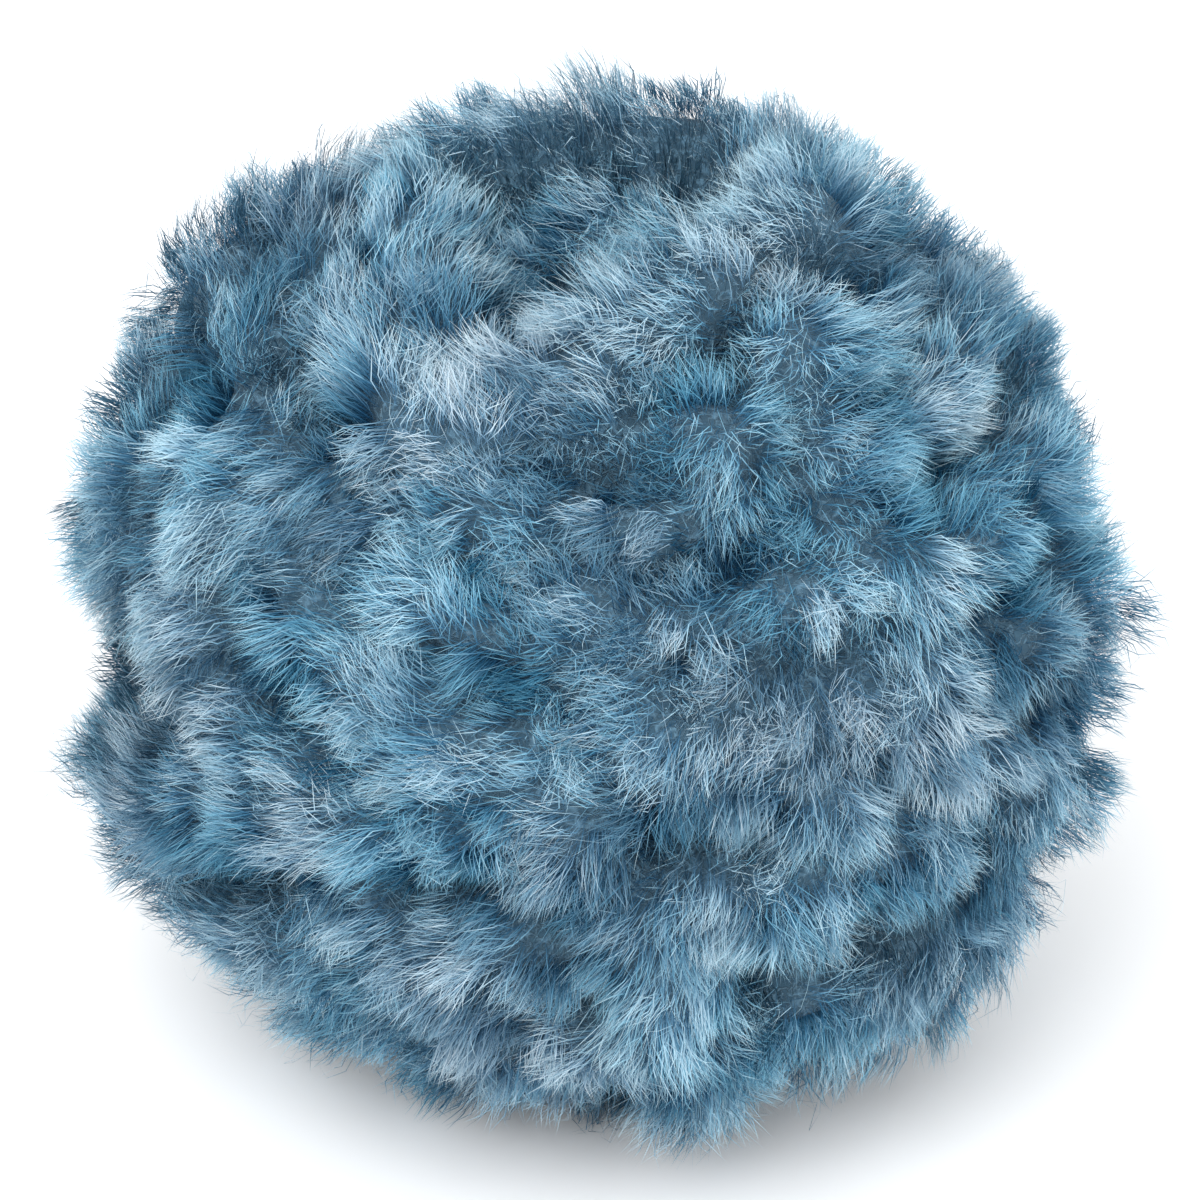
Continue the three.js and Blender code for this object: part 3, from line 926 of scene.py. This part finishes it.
class Paint:
    """A material in the making."""

    def __init__(self, name):
        self.material = bpy.data.materials.new(name)
        self.material.use_nodes = True
        self.tree = self.material.node_tree
        self.tree.nodes.clear()

    def node(self, kind, settings=None, sockets=None, output=0):
        """A node's output as a wire. Its settings are set first, then its sockets' values or wires."""
        made = self.tree.nodes.new(kind)
        for name, value in (settings or {}).items():
            if name == "stops":
                self.set_stops(made.color_ramp, value)
            else:
                setattr(made, name, value)
        for name, value in (sockets or {}).items():
            if isinstance(value, Wire):
                self.tree.links.new(value.socket, made.inputs[name])
            else:
                made.inputs[name].default_value = value
        return Wire(self, made.outputs[output]) if made.outputs else None

    @staticmethod
    def set_stops(ramp, stops):
        while len(ramp.elements) > 1:
            ramp.elements.remove(ramp.elements[-1])
        for number, (place, colour) in enumerate(stops):
            stop = ramp.elements[0] if number == 0 else ramp.elements.new(place)
            stop.position = place
            stop.color = (*colour, 1)

    def mix(self, kind, share, first, second):
        """Two colours mixed."""
        settings = {"data_type": "RGBA", "blend_type": kind}
        colours = {6: self.as_colour(first), 7: self.as_colour(second)}
        return self.node("ShaderNodeMix", settings, {0: share, **colours}, output=2)

    @staticmethod
    def as_colour(value):
        return value if isinstance(value, Wire) else (*value, 1)

    def finish(self, sockets, let_through=0.0, through=(1, 1, 1)):
        """The surface, from its sockets and the share and colour of the light through it."""
        surface = self.node("ShaderNodeBsdfPrincipled", None, sockets)
        if let_through:
            behind = self.node("ShaderNodeBsdfTranslucent", None, {"Color": (*through, 1)})
            surface = self.node("ShaderNodeMixShader", None, {0: let_through, 1: surface, 2: behind})
        self.node("ShaderNodeOutputMaterial", None, {"Surface": surface})
        return self.material


def linear(red, green, blue):
    """A colour given as 0 to 255 on a screen, as light."""
    shares = [value / 255 for value in (red, green, blue)]
    return tuple(v / 12.92 if v <= 0.04045 else ((v + 0.055) / 1.055) ** 2.4 for v in shares)


# The dyes of the pile, from teal to mauve, side by side on the map
STOP_MARGIN = 0.1  # of a dye's stretch of the map, before its darkest stop and after its palest
MAP_MARGIN = 0.12  # and the same before and after what the fibres use of it
Dye = namedtuple("Dye", "darkest dark middle light pale palest")
DYES = (
    Dye((8, 42, 66), (34, 86, 114), (78, 135, 162), (118, 173, 197), (164, 208, 226), (224, 240, 246)),
    Dye((10, 40, 64), (40, 83, 110), (84, 132, 157), (124, 167, 189), (172, 206, 221), (228, 240, 245)),
    Dye((12, 39, 62), (45, 81, 106), (90, 130, 153), (130, 165, 185), (178, 205, 218), (230, 239, 243)),
    Dye((16, 39, 59), (50, 81, 104), (96, 130, 151), (136, 163, 181), (183, 204, 216), (231, 239, 242)),
)

# Painted shade of a fibre from its root to its tip, darker deep in the pile towards its root, by which
# its dye is multiplied
PAINTED_ROOT_SHADE = (
    (0.0, linear(74, 112, 142)),
    (0.35, linear(158, 184, 203)),
    (0.75, linear(255, 255, 255)),
    (1.0, linear(255, 255, 255)),
)


def dye_stops():
    """The dyes' tones as one run of stops, each dye in its own stretch of the map."""
    stops = []
    for number, dye in enumerate(DYES):
        for step, colour in enumerate(dye):
            tone = step / (len(dye) - 1)
            place = number + STOP_MARGIN + (1 - 2 * STOP_MARGIN) * tone
            stops.append((place / len(DYES), linear(*colour)))
    return stops


def dyed_pile():
    """Fibres whose dye and tone run across the map and whose root to tip runs up it."""
    paint = Paint("dyed_pile")
    place = paint.node("ShaderNodeUVMap", {"uv_map": "OFBake"})
    across = paint.node("ShaderNodeSeparateXYZ", None, {0: place}, output=0)
    height = paint.node("ShaderNodeSeparateXYZ", None, {0: place}, output=1)
    dye = paint.node("ShaderNodeValToRGB", {"stops": dye_stops()}, {"Fac": across})
    # Painted shade: the dye darkened towards the fibre's root
    shade = paint.node("ShaderNodeValToRGB", {"stops": PAINTED_ROOT_SHADE}, {"Fac": height})
    sockets = {
        "Base Color": paint.mix("MULTIPLY", 1.0, dye, shade),
        "Roughness": 0.6,
        "Specular IOR Level": 0.0,
    }
    return paint.finish(sockets, let_through=0.2, through=linear(92, 137, 163))


def undercoat_fuzz(colour):
    """Matted pile: deep blue and mottled, with a tangle of fine paler hairs pressed into it."""
    hair_scales = (380.0, 470.0, 560.0)
    hair_sharpness = 22
    paint = Paint("undercoat_fuzz")
    place = paint.node("ShaderNodeTexCoord", None, None, output=3)
    mottle = paint.node("ShaderNodeTexNoise", None, {"Vector": place, "Scale": 160.0, "Detail": 3.0})
    paler = tuple(1.8 * value for value in colour)
    palest = linear(92, 128, 150)
    shade = paint.mix("MIX", mottle, colour, paler)
    tangle = None
    for scale in hair_scales:
        sockets = {"Vector": place, "Scale": scale, "Detail": 1.0, "Distortion": 0.6}
        waves = paint.node("ShaderNodeTexNoise", None, sockets)
        hairs = (1 - hair_sharpness * (waves - 0.5).size()).at_least(0.0)
        tangle = hairs if tangle is None else tangle.at_least(hairs)
    bump = paint.node("ShaderNodeBump", None, {"Height": tangle, "Distance": 0.0004, "Strength": 0.8})
    colours = paint.mix("MIX", tangle * 0.8, shade, palest)
    return paint.finish({"Base Color": colours, "Roughness": 0.95, "Normal": bump})


def ball_grid(rings):
    """Directions in rings from the top of a ball to its foot, with the corners and sizes of its faces."""
    sectors = 2 * rings
    polar = np.pi * np.arange(1, rings) / rings
    around = 2 * np.pi * np.arange(sectors) / sectors
    polar, around = np.meshgrid(polar, around, indexing="ij")
    level = np.sin(polar)
    on_rings = np.stack([level * np.cos(around), level * np.sin(around), np.cos(polar)], -1)
    directions = np.concatenate([[[0, 0, 1]], on_rings.reshape(-1, 3), [[0, 0, -1]]])
    corners, sizes = [], []
    ring = np.arange(sectors)
    following = (ring + 1) % sectors
    for number in range(rings - 2):
        low = 1 + number * sectors
        high = low + sectors
        quads = np.stack([low + ring, high + ring, high + following, low + following], 1)
        corners.append(quads.ravel())
        sizes += [4] * sectors
    last = len(directions) - 1
    last_ring = last - sectors
    top = np.stack([np.zeros(sectors, int), 1 + ring, 1 + following], 1)
    foot = np.stack([np.full(sectors, last), last_ring + following, last_ring + ring], 1)
    corners += [top.ravel(), foot.ravel()]
    sizes += [3] * (2 * sectors)
    return directions, np.concatenate(corners), np.array(sizes)


class YARN_OT_undercoat(Operator):
    """Lays the undercoat over the wound turns, in place of the plain solid"""

    bl_idname = "yarn.undercoat"
    bl_label = "Lay Undercoat"

    def execute(self, context):
        settings = context.scene.yarn_undercoat
        directions, corners, sizes = ball_grid(settings.steps)
        points = directions * undercoat_radius(directions, pile_depth(directions))[:, None]
        piece = mesh_of("undercoat", in_metres(points), corners, sizes)
        piece.data.materials.append(undercoat_fuzz(settings.colour))
        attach(piece, BODY)
        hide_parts(SOLID_NODE)
        return {"FINISHED"}


class YARN_OT_pile(Operator):
    """Grows the short pile, its fuzz and the loose hairs, in gores round the ball"""

    bl_idname = "yarn.pile"
    bl_label = "Grow Pile"

    GORES = 5
    LOOSE_HAIRS = 500

    def execute(self, context):
        settings = context.scene.yarn_pile
        width = settings.width / MM
        wisps = settings.wisps
        pile = Layer("short_pile", wisps, BENT, fibres=12, length=0.88, width=1.5 * width, frizz=1.0)
        fuzz = Layer("fuzz", wisps // 4, CURVED, fibres=8, length=0.8, width=0.75 * width,
                     frizz=1.8, lift=0.1)
        hairs = Layer("loose_hairs", self.LOOSE_HAIRS, WAVY, fibres=1, length=1.1, width=0.7 * width,
                      frizz=2.0, lift=0.15, tone=0.05)
        pelt = Pelt(settings)
        material = dyed_pile()
        for layer in (pile, fuzz, hairs):
            fibres = pelt.fibres(layer)
            gores = self.GORES if layer.fibres > 1 else 1
            around = np.arctan2(fibres["directions"][:, 1], fibres["directions"][:, 0])
            gore = np.floor((around / (2 * np.pi) + 0.5) * gores).astype(int) % gores
            for number in range(gores):
                chosen = {name: values[gore == number] for name, values in fibres.items()}
                pile_piece(f"{layer.name}_{number + 1}", chosen, layer.cuts, material)
        return {"FINISHED"}


def point_at(piece, target):
    """Turns a lamp or camera to face a point."""
    piece.rotation_euler = (target - piece.location).to_track_quat("-Z", "Y").to_euler()


def soft_lamp(name, place, target, side, power):
    """A square soft lamp."""
    lamp = bpy.data.lights.new(name, "AREA")
    lamp.size = side
    lamp.energy = power
    holder = bpy.data.objects.new(name, lamp)
    holder.location = place
    point_at(holder, target)
    bpy.context.scene.collection.objects.link(holder)


class YARN_OT_stage(Operator):
    """Sets the pale floor, the soft light and the camera"""

    bl_idname = "yarn.stage"
    bl_label = "Set Stage"

    FLOOR_SIDE = 6.0
    FLOOR_ROUGHNESS = 0.9
    SENSOR = 36.0
    NEAREST = 0.01
    KEY_PLACE = Vector((-0.35, -0.75, 0.95))
    KEY_SIDE = 0.8
    FILL_PLACE = Vector((0.7, -0.7, 0.4))
    FILL_SIDE = 0.7
    FILL_SHARE = 0.3  # of the key lamp's power

    def execute(self, context):
        settings = context.scene.yarn_stage
        scene = context.scene
        half = self.FLOOR_SIDE / 2
        ground = [(-half, -half, 0), (half, -half, 0), (half, half, 0), (-half, half, 0)]
        floor = mesh_of("floor", ground, [0, 1, 2, 3], np.array([4]))
        floor.data.materials.append(self.floor_paint(settings.floor_colour))

        world = bpy.data.worlds.new("studio")
        world.use_nodes = True
        sky = world.node_tree.nodes["Background"]
        sky.inputs["Color"].default_value = (1, 1, 1, 1)
        sky.inputs["Strength"].default_value = settings.sky
        scene.world = world

        middle = Vector((0, 0, CENTRE_HEIGHT * MM))
        soft_lamp("key", self.KEY_PLACE, middle, self.KEY_SIDE, settings.key)
        soft_lamp("fill", self.FILL_PLACE, middle, self.FILL_SIDE, settings.key * self.FILL_SHARE)

        elevation = math.radians(VIEW_ELEVATION)
        camera = bpy.data.cameras.new("camera")
        camera.sensor_width = self.SENSOR
        camera.lens = self.SENSOR * settings.distance / settings.frame_width
        camera.clip_start = self.NEAREST
        holder = bpy.data.objects.new("camera", camera)
        towards = Vector((0, -math.cos(elevation), math.sin(elevation)))
        holder.location = middle + towards * settings.distance
        point_at(holder, middle)
        scene.collection.objects.link(holder)
        scene.camera = holder
        scene.view_settings.view_transform = "Standard"
        return {"FINISHED"}

    def floor_paint(self, colour):
        paint = Paint("studio_floor")
        return paint.finish({"Base Color": (*colour, 1), "Roughness": self.FLOOR_ROUGHNESS})


class YARN_PT_ball(Panel):
    """The steps that dress the ball, in order"""

    bl_idname = "YARN_PT_ball"
    bl_label = "Faux Fur Yarn Ball"
    bl_space_type = "VIEW_3D"
    bl_region_type = "UI"
    bl_category = "Yarn Ball"

    def draw(self, context):
        for step in STEPS:
            self.layout.operator(step.bl_idname)


GROUPS = {
    "yarn_undercoat": UndercoatSettings,
    "yarn_pile": PileSettings,
    "yarn_stage": StageSettings,
}
STEPS = (YARN_OT_stage, YARN_OT_undercoat, YARN_OT_pile)


def register():
    for made in (*GROUPS.values(), *STEPS, YARN_PT_ball):
        bpy.utils.register_class(made)
    for name, group in GROUPS.items():
        setattr(bpy.types.Scene, name, PointerProperty(type=group))


def unregister():
    for name in GROUPS:
        delattr(bpy.types.Scene, name)
    for made in reversed((*GROUPS.values(), *STEPS, YARN_PT_ball)):
        bpy.utils.unregister_class(made)


def main():
    register()
    bpy.ops.yarn.stage()
    bpy.ops.yarn.undercoat()
    bpy.ops.yarn.pile()


if __name__ == "__main__":
    main()
